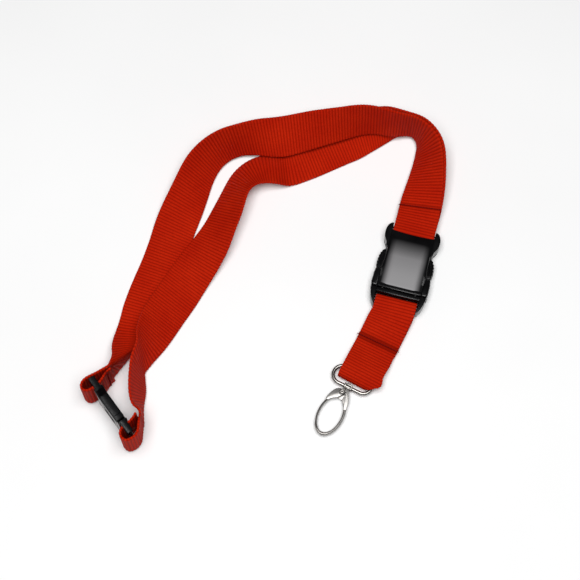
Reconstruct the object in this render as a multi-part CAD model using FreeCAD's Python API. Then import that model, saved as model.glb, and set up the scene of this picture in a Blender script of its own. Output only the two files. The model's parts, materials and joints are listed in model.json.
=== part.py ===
import FreeCAD, Part
import math
import os
from FreeCAD import Matrix, Placement, Rotation, Vector

# Lanyard: a ribbed neck webbing folded round the socket of a side-release buckle, its two far ends
# closed by a breakaway clip that stands on edge, and a short webbing loop with an oval swivel hook.
# Millimetres, +Z up, everything lying on z = 0. +X is to the right, +Y away from the viewer.

WEB_W = 25.0            # webbing width
WEB_T = 1.3             # webbing thickness
SLACK = 1.0             # a ruling this much too long is drawn in to the webbing's width
STITCH_T = 0.5          # raised height of a row of stitches
FIT = 0.3               # clearance between separate pieces

BUCKLE_POS = Vector(75.1, 37.2, 0)     # middle of the buckle's neck-strap end
BUCKLE_TURN = -105.0                   # direction of its long axis, degrees from +X
BUCKLE_Z = 5.2                         # height of both strap bars and of the latch
SOCKET_L = 42.6
SOCKET_T = 10.5
SOCKET_BAR_A = 3.5                     # distance of the neck-strap bar from the socket's end
PLUG_BAR_A = 49.4                      # distance of the short-strap bar from the socket's end
BAR_R = 1.5                            # round strap bars of the buckle
WRAP_R = 2.5                           # middle of the webbing where it wraps a bar

SHORT_TURN = -116.5                    # direction of the short strap
SHORT_L = 51.5                         # bar to the middle of the fold at the ring

CLIP_BAR = Vector(-111.6, -64.2, 0)    # foot of the breakaway socket's bar
CLIP_TURN = -53.5                      # direction from that bar to the other one
CLIP_BAR_GAP = 36.0                    # bar to bar
CLIP_H = 28.6                          # the clip stands on edge, this tall
CLIP_T = 5.8
CLIP_RAIL = 1.5                        # thickness of the rails above and below the webbing
LOOP_Z = 1.8                           # height of the webbing's lower edge in the end loops

HOOK_POS = Vector(30.1, -64.6, 0)      # gate pin of the hook
HOOK_TURN = -117.0                     # direction from the pin to the hook's far end
HOOK_Z = 3.4                           # middle height of the hook and of the ring
PIN_R = 0.9


def unit(azimuth, tilt=0.0):
    a, t = math.radians(azimuth), math.radians(tilt)
    return Vector(math.cos(a) * math.cos(t), math.sin(a) * math.cos(t), math.sin(t))


def frame(origin, turn, z=0.0):
    """Placement of a local frame: local x along `turn`, local y to its left, z up."""
    return Placement(origin + Vector(0, 0, z), Rotation(Vector(0, 0, 1), turn))


BUCKLE = frame(BUCKLE_POS, BUCKLE_TURN)
HOOK = frame(HOOK_POS, HOOK_TURN)
# The clip's own frame: x along the clip, y across its thickness, z along its bars.
CLIP = frame(CLIP_BAR, CLIP_TURN)


def local(place, x, y, z):
    return place.multVec(Vector(x, y, z))


# ---------------------------------------------------------------- webbing

def spline(points, closed=False):
    """A curve through the points, one unit of parameter per step, so that edges stay paired."""
    curve = Part.BSplineCurve()
    steps = [float(k) for k in range(len(points) + (1 if closed else 0))]
    curve.interpolate(Points=points, PeriodicFlag=closed, Parameters=steps)
    return curve


def ruled_face(first, second):
    """The face of straight lines between two curves that share their parameters."""
    surface = Part.BSplineSurface()
    surface.buildFromPolesMultsKnots([first.getPoles(), second.getPoles()], [2, 2],
                                     first.getMultiplicities(), [0.0, 1.0], first.getKnots(),
                                     False, first.isPeriodic(), 1, first.Degree)
    return surface.toShape()


def edges_from_stations(stations):
    """Both edges of a strap from (x, y, z of its inner edge, azimuth and tilt of its width).

    A sixth number is the length of a ruling that runs aslant, along a crease.
    """
    inner, outer = [], []
    for x, y, z, azimuth, tilt, *aslant in stations:
        low = Vector(x, y, z)
        inner.append(low)
        outer.append(low + unit(azimuth, tilt) * (aslant[0] if aslant else WEB_W))
    return inner, outer


def paired(inner, outer, step):
    """Evenly spaced rulings between the two edges, none shorter than the strap's width."""
    middle = [(p + q) * 0.5 for p, q in zip(inner, outer)]
    params = [0.0]
    for a, b in zip(middle, middle[1:]):
        params.append(params[-1] + (b - a).Length)
    curves = [Part.BSplineCurve(), Part.BSplineCurve()]
    for curve, points in zip(curves, (inner, outer)):
        curve.interpolate(Points=points, Parameters=params)
    count = int(params[-1] / step)
    low, high = [], []
    for k in range(count + 1):
        p, q = (curve.value(params[-1] * k / count) for curve in curves)
        middle, across = (p + q) * 0.5, q - p
        half = across * (max(WEB_W, across.Length - SLACK) / across.Length / 2)
        low.append(middle - half)
        high.append(middle + half)
    return low, high


def normals(low, high):
    """Unit normals of the strap's upper face at each ruling."""
    middle = [(p + q) * 0.5 for p, q in zip(low, high)]
    found = []
    for k in range(len(middle)):
        along = middle[min(k + 1, len(middle) - 1)] - middle[max(k - 1, 0)]
        found.append((high[k] - low[k]).cross(along).normalize())
    return found


def strap_solid(low, high, closed=False, thick=WEB_T):
    """A closed strap between two edges: four ruled faces, and two ends when it is open."""
    if closed:
        middle = [(p + q) * 0.5 for p, q in zip(low, high)]
        n = len(middle)
        face_n = []
        for k in range(n):
            along = middle[(k + 1) % n] - middle[k - 1]
            face_n.append((high[k] - low[k]).cross(along).normalize())
    else:
        face_n = normals(low, high)
    h = thick / 2
    rails = [[p + v * h for p, v in zip(low, face_n)], [p + v * h for p, v in zip(high, face_n)],
             [p - v * h for p, v in zip(high, face_n)], [p - v * h for p, v in zip(low, face_n)]]
    curves = [spline(rail, closed) for rail in rails]
    faces = [ruled_face(curves[k], curves[(k + 1) % 4]) for k in range(4)]
    if not closed:
        for end in (0, -1):
            faces.append(Part.Face(Part.makePolygon([rails[k][end] for k in (0, 1, 2, 3, 0)])))
    shell = Part.makeShell(faces)
    shell.sewShape()
    solid = Part.makeSolid(Part.makeShell(shell.Faces))
    if solid.Volume < 0:
        solid.reverse()
    return solid


def shifted(stations, down, out=0.0):
    """Stations of a second layer, `down` below the first one's upper face and `out` sideways."""
    moved = []
    for x, y, z, azimuth, tilt in stations:
        normal = unit(azimuth + 180, 90 - tilt)
        p = Vector(x, y, z) - normal * down + unit(azimuth, tilt) * out
        moved.append((p.x, p.y, p.z, azimuth, tilt))
    return moved


def bar_station(a, z):
    """A station of webbing lying square across the buckle at distance a and height z."""
    p = local(BUCKLE, a, -WEB_W / 2, z)
    return (p.x, p.y, p.z, BUCKLE_TURN + 90, 0.0)


def wrap_stations(bar_a, first, last, count):
    """Webbing wrapped round a buckle bar, between two angles about the bar."""
    stations = []
    for k in range(count + 1):
        angle = math.radians(first + (last - first) * k / count)
        stations.append(bar_station(bar_a + WRAP_R * math.cos(angle),
                                    BUCKLE_Z + WRAP_R * math.sin(angle)))
    return stations


# Both layers leave the buckle together, bank up on edge in the first bend and then part.
SHARED = [
    (64.4, 45.6, 6.9, -15, 4),
    (66.4, 53.8, 5.4, -13, 12),
    (69.2, 62.5, 4.2, -14, 24),
    (72.2, 71.0, 3.4, -13, 36),
    (75.0, 79.5, 3.0, -10, 47),
    (77.2, 88.0, 2.8, 5, 62),
    (77.6, 95.0, 2.8, 32, 80),
]
UPPER_RUN = [
    (75.0, 98.9, 3.2, 60, 86),
    (69.5, 99.2, 4.2, 80, 84),
    (62.0, 97.9, 6.4, 86, 78),
    (54.0, 98.5, 7.9, 90, 75),
    (44.6, 98.3, 7.6, 93, 70),
    (32.3, 95.2, 6.4, 97, 62),
    (20.0, 91.5, 5.8, 98, 53),
    (7.0, 87.3, 5.4, 98, 42),
    (-5.5, 84.5, 5.2, 100, 38),
    (-16.0, 85.6, 4.4, 106, 50),
    (-25.0, 86.8, 3.0, 114, 61),
    (-33.5, 85.4, 2.0, 128, 62),
    (-40.5, 80.4, 1.4, 143, 56),
    (-46.0, 71.4, 1.0, 152, 46),
    (-49.5, 60.0, 0.8, 156, 36),
    (-53.0, 48.0, 0.8, 157, 24),
    (-57.3, 35.5, 0.8, 157, 9),
    (-62.8, 17.1, 0.8, 159, 0),
    (-69.4, -1.1, 0.8, 161, 0),
    (-74.5, -17.0, 0.8, 164, 1),
    (-77.0, -28.0, 1.0, 174, 7),
    (-80.5, -33.0, 1.4, 189, 22),
    (-85.2, -35.8, 1.6, 212, 40, 27.0),
    (-90.6, -38.0, 1.6, 232, 50, 31.4),
    (-95.6, -44.8, 1.6, 233, 63, 27.9),
    (-99.8, -50.6, 1.7, 232, 77, 25.6),
]
LOWER_RUN = [
    (76.6, 101.0, 1.2, 62, 86),
    (70.5, 101.6, 0.9, 80, 82),
    (63.5, 98.6, 0.9, 92, 66),
    (57.0, 94.2, 0.9, 100, 43),
    (50.0, 89.6, 0.9, 106, 25),
    (42.0, 84.8, 0.9, 110, 11),
    (31.4, 79.9, 0.8, 112, 4),
    (16.4, 72.9, 0.8, 110, 3),
    (5.6, 68.6, 0.9, 104, 3),
    (0.5, 66.9, 1.8, 98, -2),
    (-6.0, 65.2, 7.7, 95, -16),
    (-13.0, 64.8, 11.0, 98, -24),
    (-18.0, 63.4, 13.0, 112, -30),
    (-22.5, 60.0, 15.6, 128, -38),
    (-25.5, 54.0, 17.6, 140, -42),
    (-27.5, 46.5, 17.0, 148, -39),
    (-30.5, 38.0, 15.3, 150, -35),
    (-33.0, 31.0, 14.2, 150, -31),
    (-36.0, 22.8, 11.8, 149, -22),
    (-40.0, 15.2, 8.0, 147, -13),
    (-45.0, 7.3, 4.4, 146, -4),
    (-51.0, -2.4, 1.5, 145, 5),
    (-59.0, -15.6, 0.8, 145, 14),
    (-67.0, -28.0, 0.8, 148, 28),
    (-73.2, -37.2, 0.8, 144, 43),
    (-79.5, -45.0, 0.9, 128, 55),
    (-84.6, -51.8, 1.2, 108, 62),
    (-84.8, -54.6, 1.3, 130, 70),
    (-84.4, -58.2, 1.4, 155, 73),
    (-84.0, -62.6, 1.5, 183, 73),
    (-84.2, -67.0, 1.5, 212, 72),
    (-84.9, -72.8, 1.7, 242, 75),
    (-84.8, -78.6, 1.8, 262, 85),
]

# Plan paths of the end loops in the clip's frame (x along the clip, y across it).
LEFT_LOOP = [(-2.2, 11.5), (-2.4, 8.6), (-2.9, 3.8), (-3.7, -1.8), (-2.9, -5.6), (-0.2, -7.6),
             (2.1, -6.6), (3.2, -3.0), (2.9, 1.6), (1.6, 5.6), (0.2, 8.8), (-0.3, 12.4)]
RIGHT_LOOP = [(-4.2, 10.3), (-2.4, 8.6), (-0.2, 6.6), (2.6, 4.2), (4.2, 1.4), (4.4, -1.8), (3.4, -4.6),
              (0.8, -5.6), (-1.8, -4.9), (-3.6, -2.2), (-4.0, 1.4), (-4.5, 4.6), (-5.3, 7.0),
              (-6.3, 8.9)]


def upright(path, offset):
    """Stations of webbing standing on edge along a plan path in the clip's frame."""
    stations = []
    for x, y in path:
        p = local(CLIP, offset + x, y, LOOP_Z)
        stations.append((p.x, p.y, p.z, 0.0, 90.0))
    return stations


def left_stations():
    start = wrap_stations(SOCKET_BAR_A, -115, 100, 10)
    return start + SHARED + UPPER_RUN + upright(LEFT_LOOP, 0.0)


def right_stations():
    start = [bar_station(-0.6, 2.5), bar_station(-4.0, 2.9)]
    below = shifted(SHARED[1:], WEB_T + 0.5, 0.6)
    end = local(CLIP, CLIP_BAR_GAP + RIGHT_LOOP[0][0], RIGHT_LOOP[0][1], LOOP_Z)
    back = Vector(0.0, 1.0, 0) * FIT
    return start + below + LOWER_RUN + [(end.x + back.x, end.y + back.y, LOOP_Z, 250.0, 90.0)]


# ---------------------------------------------------------------- short strap

# (distance from the bar, height of the upper layer, height of the lower layer)
SHORT_PROFILE = [(5.0, 6.9, 2.4), (11.0, 5.7, 1.6), (18.0, 4.3, 1.1), (26.0, 3.6, 1.0),
                 (34.0, 4.2, 1.0), (40.0, 5.9, 1.0), (45.5, 7.0, 1.0)]
SHORT_BEND = 4.5        # the strap is square to the buckle up to here, then turns aside
SHORT_FOLD_Z = 4.0      # middle height of the fold at the ring
FOLD_R = 3.1            # radius of that fold's middle
SHORT_SKEW = 0.4        # the fold runs a little aslant, by this much at each edge
GATHER = 6.6            # the layer that passes through the ring is gathered by this much


def short_ruling(s, z, right=WEB_W / 2):
    """A ruling of the short strap at distance s from the bar."""
    bar = local(BUCKLE, PLUG_BAR_A, 0, 0)
    bend = min(1.0, max(0.0, (s - SHORT_BEND) / 12.0))
    side = unit(BUCKLE_TURN + 90 + (SHORT_TURN - BUCKLE_TURN) * bend)
    middle = bar + unit(BUCKLE_TURN) * min(s, SHORT_BEND)
    middle += unit(SHORT_TURN) * max(0.0, s - SHORT_BEND) + Vector(0, 0, z)
    skew = unit(SHORT_TURN) * (SHORT_SKEW * min(1.0, max(0.0, (s - 30.0) / 15.0)))
    return middle - side * (WEB_W / 2) - skew, middle + side * right + skew


def short_strap():
    """A closed loop of webbing: buckle bar, upper layer, fold at the ring, lower layer."""
    rulings = []
    for k in range(7):
        angle = math.radians(-90 - 30 * k)
        rulings.append(short_ruling(WRAP_R * math.cos(angle),
                                    BUCKLE_Z + WRAP_R * math.sin(angle)))
    for s, upper, lower in SHORT_PROFILE:
        rulings.append(short_ruling(s, upper))
    for k in range(7):
        angle = math.radians(90 - 30 * k)
        width = WEB_W / 2 - GATHER * min(1.0, k / 3)
        rulings.append(short_ruling(SHORT_L + FOLD_R * math.cos(angle),
                                    SHORT_FOLD_Z + FOLD_R * math.sin(angle), width))
    for s, upper, lower in reversed(SHORT_PROFILE):
        narrow = WEB_W / 2 - GATHER * min(1.0, max(0.0, (s - 32.0) / 8.0))
        rulings.append(short_ruling(s, lower, narrow))
    low, high = [r[0] for r in rulings], [r[1] for r in rulings]
    return strap_solid(low, high, closed=True)


# ---------------------------------------------------------------- stitches

def stitch_row(low, high, index, count=14):
    """Raised threads across a strap's upper face at one ruling."""
    normal = normals(low, high)[index]
    side = (high[index] - low[index]).normalize()
    middle = (low[index] + high[index]) * 0.5 + normal * (WEB_T / 2 + STITCH_T / 2 + 0.03)
    pitch = (WEB_W - 1.0) / count
    stitches = []
    for k in range(count):
        start = middle + side * (pitch * (k + 0.1) - (WEB_W - 1.0) / 2)
        stitches.append(Part.makeCylinder(STITCH_T / 2, pitch * 0.8, start, side))
    return Part.makeCompound(stitches)


# ---------------------------------------------------------------- side-release buckle

def plate(points, z0, z1):
    """A flat plate with the given outline, between two heights."""
    outline = [Vector(x, y, z0) for x, y in points]
    return Part.Face(Part.makePolygon(outline + outline[:1])).extrude(Vector(0, 0, z1 - z0))


def mirrored(points):
    """An outline given for the +y side only, closed over its mirror image."""
    return points + [(x, -y) for x, y in reversed(points)]


def box(x0, x1, y0, y1, z0, z1):
    return Part.makeBox(x1 - x0, y1 - y0, z1 - z0, Vector(x0, y0, z0))


def bar_along_y(x, z, radius, half):
    return Part.makeCylinder(radius, 2 * half, Vector(x, -half, z), Vector(0, 1, 0))


SOCKET_OUTLINE = [(1.2, 12.4), (2.0, 14.2), (4.4, 15.6), (8.8, 15.9), (12.2, 15.1), (14.8, 13.9),
                  (17.0, 14.6), (30.0, 15.4), (31.5, 16.9), (40.5, 17.3), (SOCKET_L, 16.9)]
CAVITY_Y = 13.0
WINDOW = (16.6, 31.4)
TOP_START = 5.6         # the top plate begins here, behind the strap bar


def buckle_socket():
    body = plate(mirrored(SOCKET_OUTLINE), 0.0, SOCKET_T)
    keep = []
    for edge in body.Edges:
        flat = abs(edge.Vertexes[0].Z - edge.Vertexes[-1].Z) < 0.01
        ends = all(v.X < 1.3 or v.X > SOCKET_L - 0.1 for v in edge.Vertexes)
        if flat and not ends and edge.Vertexes[0].Z > 5:
            keep.append(edge)
    body = body.makeFillet(2.4, keep)
    body = body.cut(box(9.4, SOCKET_L + 1, -CAVITY_Y, CAVITY_Y, 2.0, 8.4))
    body = body.cut(box(-1.0, 9.5, -13.2, 13.2, 1.2, 9.3))
    body = body.cut(box(-1.0, TOP_START, -13.2, 13.2, 9.2, SOCKET_T + 1))
    for y0, y1 in ((-20, -10), (10, 20)):
        body = body.cut(box(WINDOW[0], WINDOW[1], y0, y1, 2.0, 8.4))
    body = body.fuse(bar_along_y(SOCKET_BAR_A, BUCKLE_Z, BAR_R, 13.6))
    panel = box(TOP_START, 40.6, -11.8, 11.8, SOCKET_T - 0.2, SOCKET_T + 0.6)
    body = body.fuse(panel.makeFillet(0.5, [e for e in panel.Edges if e.BoundBox.ZMin > SOCKET_T]))
    return body.removeSplitter()


RAIL_OUTLINE = [(43.0, 16.6), (47.0, 16.2), (51.0, 14.9), (53.4, 13.2)]
TONGUE_Y = 4.4
ARM_ROOT = (42.4, 10.0)


def buckle_plug():
    rail = RAIL_OUTLINE + [(53.4, 12.9), (43.0, 12.9)]
    body = plate(rail, 1.0, 9.6).fuse(plate([(x, -y) for x, y in rail], 1.0, 9.6))
    body = body.fuse(box(43.0, 45.6, -13.0, 13.0, 1.6, 9.0))
    body = body.fuse(bar_along_y(PLUG_BAR_A, BUCKLE_Z, BAR_R, 13.4))
    body = body.fuse(box(20.0, 43.2, -TONGUE_Y, TONGUE_Y, 3.6, 6.8))
    body = body.fuse(box(41.6, 43.2, -8.2, 8.2, 3.6, 6.8))
    return body.removeSplitter()


ARM_OUTLINE = [(42.7, 8.6), (32.0, 8.4), (22.0, 9.4), (17.6, 11.0), (17.2, 13.0), (18.6, 15.4),
               (22.0, 16.6), (27.0, 16.9), (30.6, 16.6), (31.0, 11.4), (42.7, 11.2)]


def release_arm(side):
    outline = [(x, y * side) for x, y in ARM_OUTLINE]
    return plate(outline, 3.0, 7.4)


# ---------------------------------------------------------------- ring and hook

RING_TOP_X, RING_BOTTOM_X = -15.4, -4.6
RING_LEFT_Y, RING_RIGHT_Y = -10.0, 14.2
RING_R = 1.05           # radius of the ring's wire
HUB_Y = 1.6             # the swivel's axis, beside the gate pin
POST_R = 0.75


def rounded_path(x0, x1, y0, y1, corner):
    """A closed rounded rectangle as a wire in the local plane z = 0."""
    def arc(cx, cy, start):
        pts = [Vector(cx + corner * math.cos(math.radians(start + a)),
                      cy + corner * math.sin(math.radians(start + a)), 0) for a in (0, 45, 90)]
        return Part.Arc(*pts).toShape()
    arcs = [arc(x1 - corner, y1 - corner, 0), arc(x0 + corner, y1 - corner, 90),
            arc(x0 + corner, y0 + corner, 180), arc(x1 - corner, y0 + corner, 270)]
    edges = []
    for k, piece in enumerate(arcs):
        following = arcs[(k + 1) % 4]
        edges.append(piece)
        a, b = piece.Vertexes[-1].Point, following.Vertexes[0].Point
        if (b - a).Length > 0.01:
            edges.append(Part.makeLine(a, b))
    return Part.Wire(edges)


def strap_ring():
    path = rounded_path(RING_TOP_X, RING_BOTTOM_X, RING_LEFT_Y, RING_RIGHT_Y, 5.2)
    start = path.Edges[0]
    centre = start.valueAt(start.FirstParameter)
    tangent = start.tangentAt(start.FirstParameter)
    profile = Part.Wire([Part.makeCircle(RING_R, centre, tangent)])
    wire = path.makePipeShell([profile], True, False)
    hub = box(RING_BOTTOM_X - 1.6, RING_BOTTOM_X + 1.4, -0.9, 4.1, -1.9, 1.9)
    hub = hub.makeFillet(0.5, hub.Edges)
    eye = Part.makeCylinder(POST_R + 0.05, 8, Vector(-9, HUB_Y, 0), Vector(1, 0, 0))
    ring = wire.fuse(hub).cut(eye)
    ring.translate(Vector(0, 0, HOOK_Z))
    return ring.removeSplitter()


def swivel_post():
    """The rivet that joins the ring's hub to the hook's head and lets it turn."""
    axis = Vector(1, 0, 0)
    post = Part.makeCylinder(POST_R, 4.2, Vector(-6.4, HUB_Y, 0), axis)
    head = Part.makeCylinder(1.2, 0.4, Vector(-6.65, HUB_Y, 0), axis)
    post = post.fuse(head)
    post.translate(Vector(0, 0, HOOK_Z))
    return post


def oval(x, y, half_x, half_y, z0, z1):
    ring = Part.Ellipse(Vector(x, y, z0), half_x, half_y).toShape()
    return Part.Face(Part.Wire([ring])).extrude(Vector(0, 0, z1 - z0))


HOOK_OUTER = (14.7, 0.0, 13.4, 7.9)       # centre and half sizes of the oval's outside
HOOK_INNER = (14.9, -0.2, 11.1, 6.3)      # and of its opening
HEAD_OUTLINE = [(-2.9, -1.2), (-2.9, 3.2), (-1.0, 4.2), (1.4, 5.4), (6.0, 6.8), (8.0, 0.0),
                (6.4, -7.0), (3.0, -6.2), (0.0, -5.0), (-1.8, -3.2)]
HOOK_T = 1.4            # half thickness of the casting
GATE_END_X = 18.5
GATE_R = 2.2            # round head of the gate about its pin
GATE_OPEN = 20.0        # degrees


def hook_band():
    """The hook's oval band with its flat head, before it is split into body and gate."""
    band = oval(*HOOK_OUTER, -HOOK_T, HOOK_T).fuse(plate(HEAD_OUTLINE, -HOOK_T, HOOK_T))
    return band.cut(oval(*HOOK_INNER, -3, 3))


def gate_blank(gap):
    """The gate's outline: its round head and the hook's left side, drawn in by `gap`."""
    side = plate([(-2.6, -12.0), (GATE_END_X - gap, -12.0), (GATE_END_X - gap, -2.5),
                  (5.0, -0.4 - gap), (1.4, 0.9 - gap), (-1.0, -1.0), (-2.6, -1.6 - gap)],
                 -HOOK_T, HOOK_T)
    disc = Part.makeCylinder(GATE_R - gap, 2 * HOOK_T, Vector(0, 0, -HOOK_T))
    return hook_band().common(side).fuse(disc)


def gate_spring():
    """Torsion spring round the pin, under the gate's head."""
    coil = Part.makeCylinder(1.7, 0.5, Vector(0, 0, -0.95))
    leg = box(0.4, 4.0, -1.65, -1.2, -0.95, -0.45)
    spring = coil.fuse(leg).cut(Part.makeCylinder(1.2, 3, Vector(0, 0, -2)))
    spring.translate(Vector(0, 0, HOOK_Z))
    return spring


def hook_body():
    """The casting, cleared wherever the gate swings, with a web under the gate's head."""
    body = hook_band()
    swept = gate_blank(-0.1)
    steps = 11
    for k in range(steps + 1):
        turned = swept.copy()
        turned.rotate(Vector(0, 0, 0), Vector(0, 0, 1), (GATE_OPEN + 2.0) * k / steps)
        body = body.cut(turned)
    web = plate([(-2.9, -0.8), (-2.9, 3.4), (1.8, 4.4), (2.6, 1.6), (1.4, -2.0), (-0.8, -2.4)],
                -HOOK_T, -0.35)
    body = body.fuse(web).cut(Part.makeCylinder(2.0, 1.0, Vector(0, 0, -1.05)))
    body = body.cut(box(0, 4.4, -1.9, -1.0, -1.05, 0.0))
    body = body.cut(Part.makeCylinder(PIN_R, 6, Vector(0, 0, -3)))
    body = body.cut(Part.makeCylinder(POST_R + 0.02, 1.4, Vector(-3.2, HUB_Y, 0), Vector(1, 0, 0)))
    body.translate(Vector(0, 0, HOOK_Z))
    return body.removeSplitter()


def hook_gate():
    gate = gate_blank(0.1)
    gate = gate.cut(box(-6, 4.2, -8, 6, -2, -0.25))
    gate = gate.cut(Part.makeCylinder(PIN_R + 0.05, 6, Vector(0, 0, -3)))
    gate.translate(Vector(0, 0, HOOK_Z))
    return gate.removeSplitter()


def gate_pin():
    pin = Part.makeCylinder(PIN_R - 0.02, 3.0, Vector(0, 0, -1.5), Vector(0, 0, 1))
    pin = pin.fuse(Part.makeCylinder(1.6, 0.3, Vector(0, 0, 1.45), Vector(0, 0, 1)))
    pin.translate(Vector(0, 0, HOOK_Z))
    return pin


# ---------------------------------------------------------------- breakaway clip

BODY_X = (5.4, 26.7)    # socket body, along the clip
FLANGE_X = (27.0, 30.5)
CLIP_MID = CLIP_H / 2


def side_outline(x0, x1, bar_x, waist):
    """Side view of half a clip: a full-height end with the slot, narrowing to a waist."""
    low, high = CLIP_MID - waist / 2, CLIP_MID + waist / 2
    if bar_x < x0:
        return [(bar_x - 1.7, 0), (x0 + 1.4, 0), (x0 + 4.4, low), (x1, low), (x1, high),
                (x0 + 4.4, high), (x0 + 1.4, CLIP_H), (bar_x - 1.7, CLIP_H)]
    return [(bar_x + 1.7, 0), (x1 - 1.0, 0), (x0, low), (x0, high), (x1 - 1.0, CLIP_H),
            (bar_x + 1.7, CLIP_H)]


def side_plate(points, half):
    """A plate standing on edge: outline in x and z, `half` to each side of y = 0."""
    outline = [Vector(x, -half, z) for x, z in points]
    return Part.Face(Part.makePolygon(outline + outline[:1])).extrude(Vector(0, 2 * half, 0))


def slot(x0, x1, half):
    return box(x0, x1, -half, half, CLIP_RAIL, CLIP_H - CLIP_RAIL)


def breakaway_socket():
    body = side_plate(side_outline(*BODY_X, 0.0, 19.0), CLIP_T / 2)
    body = body.cut(slot(-3.0, BODY_X[0], CLIP_T))
    for x0, y0, y1 in ((-3.0, 1.9, 6.0), (-3.0, -6.0, -1.9)):
        body = body.cut(box(x0, 3.2, y0, y1, -1, CLIP_H + 1))
    body = body.fuse(Part.makeCylinder(1.6, CLIP_H - 2, Vector(0, 0, 1), Vector(0, 0, 1)))
    cavity = box(9.0, BODY_X[1] + 1, -2.1, 2.1, CLIP_MID - 7.2, CLIP_MID + 7.2)
    window = box(13.5, 23.5, -6, 6, CLIP_MID - 6.0, CLIP_MID + 6.0)
    return body.cut(cavity).cut(window).removeSplitter()


def breakaway_plug():
    end = CLIP_BAR_GAP
    body = side_plate(side_outline(*FLANGE_X, end, 19.0), CLIP_T / 2)
    body = body.cut(slot(FLANGE_X[1], end + 3, CLIP_T))
    for y0, y1 in ((1.9, 6.0), (-6.0, -1.9)):
        body = body.cut(box(end - 3.2, end + 4, y0, y1, -1, CLIP_H + 1))
    body = body.fuse(Part.makeCylinder(1.6, CLIP_H - 2, Vector(end, 0, 1), Vector(0, 0, 1)))
    for low, high in ((-6.8, -2.6), (2.6, 6.8)):
        prong = side_plate([(28.0, CLIP_MID + low), (13.0, CLIP_MID + low + 0.6),
                            (11.0, CLIP_MID + (low + high) / 2), (13.0, CLIP_MID + high - 0.6),
                            (28.0, CLIP_MID + high)], 1.7)
        body = body.fuse(prong)
    return body.removeSplitter()


# ---------------------------------------------------------------- build

def placed(shape, place):
    shape.Placement = place.multiply(shape.Placement)
    return shape


def nearest(low, high, point):
    """Index of the ruling whose middle is nearest to a point."""
    gaps = [((p + q) * 0.5 - point).Length for p, q in zip(low, high)]
    return gaps.index(min(gaps))


def webbing_nodes():
    left = paired(*edges_from_stations(left_stations()), 2.0)
    right = paired(*edges_from_stations(right_stations()), 2.5)
    clip_end = paired(*edges_from_stations(upright(RIGHT_LOOP, CLIP_BAR_GAP)), 1.6)
    nodes = {
        "neck_webbing_left": strap_solid(*left),
        "neck_webbing_right": strap_solid(*right),
        "neck_webbing_clip_end": strap_solid(*clip_end),
        "short_webbing_loop": short_strap(),
    }
    seam = local(BUCKLE, -13.4, 0, 7.4)
    nodes["buckle_seam_stitches"] = stitch_row(*left, nearest(*left, seam))
    back = [side[::-1] for side in left]
    tail = local(CLIP, LEFT_LOOP[-2][0], LEFT_LOOP[-2][1], LOOP_Z + WEB_W / 2)
    tail_index = len(left[0]) - 1 - nearest(*back, tail)
    nodes["left_loop_stitches"] = stitch_row(left[1], left[0], tail_index)
    nodes["right_loop_stitches"] = stitch_row(clip_end[1], clip_end[0], 2)
    across = [short_ruling(s, 3.6 if s > 24 else 3.75) for s in (23.0, 26.0, 29.0)]
    nodes["short_loop_stitches"] = stitch_row([r[1] for r in across], [r[0] for r in across], 1)
    return nodes


def all_nodes():
    nodes = webbing_nodes()
    for name, make in (("buckle_socket", buckle_socket), ("buckle_plug", buckle_plug)):
        nodes[name] = placed(make(), BUCKLE)
    nodes["release_arm_left"] = placed(release_arm(-1), BUCKLE)
    nodes["release_arm_right"] = placed(release_arm(1), BUCKLE)
    for name, make in (("strap_ring", strap_ring), ("swivel_post", swivel_post),
                       ("hook_body", hook_body), ("hook_gate", hook_gate),
                       ("gate_pin", gate_pin), ("gate_spring", gate_spring)):
        nodes[name] = placed(make(), HOOK)
    nodes["breakaway_socket"] = placed(breakaway_socket(), CLIP)
    nodes["breakaway_plug"] = placed(breakaway_plug(), CLIP)
    return nodes


def base_shift(nodes):
    """Moves the middle of the whole object's footprint to the origin."""
    whole = FreeCAD.BoundBox()
    for shape in nodes.values():
        whole.add(shape.optimalBoundingBox(False))
    return Vector(-whole.Center.x, -whole.Center.y, -whole.ZMin)


def main():
    os.makedirs("parts", exist_ok=True)
    nodes = all_nodes()
    shift = base_shift(nodes)
    for name, shape in nodes.items():
        shape.translate(shift)
        shape.exportStep("parts/" + name + ".step")


if __name__ == "__main__":
    main()
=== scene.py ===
import json
import math
import random

import bmesh
import bpy
import numpy as np
from mathutils import Matrix, Vector


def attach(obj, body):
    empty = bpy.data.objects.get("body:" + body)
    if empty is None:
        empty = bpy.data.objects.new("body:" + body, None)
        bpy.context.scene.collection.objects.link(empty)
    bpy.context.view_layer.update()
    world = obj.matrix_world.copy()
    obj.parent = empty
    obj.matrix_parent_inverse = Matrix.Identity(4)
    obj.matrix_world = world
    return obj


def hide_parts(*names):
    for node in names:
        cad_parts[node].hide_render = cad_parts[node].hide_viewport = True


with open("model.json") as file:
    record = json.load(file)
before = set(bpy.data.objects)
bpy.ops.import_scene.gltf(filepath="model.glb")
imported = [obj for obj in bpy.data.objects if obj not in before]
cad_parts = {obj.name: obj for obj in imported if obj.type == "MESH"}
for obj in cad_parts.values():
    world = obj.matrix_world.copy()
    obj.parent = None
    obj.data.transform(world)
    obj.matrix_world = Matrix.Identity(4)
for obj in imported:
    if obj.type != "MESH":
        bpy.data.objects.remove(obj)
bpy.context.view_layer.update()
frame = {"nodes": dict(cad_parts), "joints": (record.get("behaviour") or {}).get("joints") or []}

MM = 0.001

# ---------------------------------------------------------------- where things are
# The webbing's route is written in the same plan coordinates as the CAD model's, in mm. The gate's
# hinge ties those to the row frame.
GATE_PIN_PLAN = np.array([30.1, -64.6, 3.4])
JOINTS = {j["name"]: j for j in frame["joints"]}
SHIFT = np.array(JOINTS["gate_open"]["pos_m"]) / MM - GATE_PIN_PLAN

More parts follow.
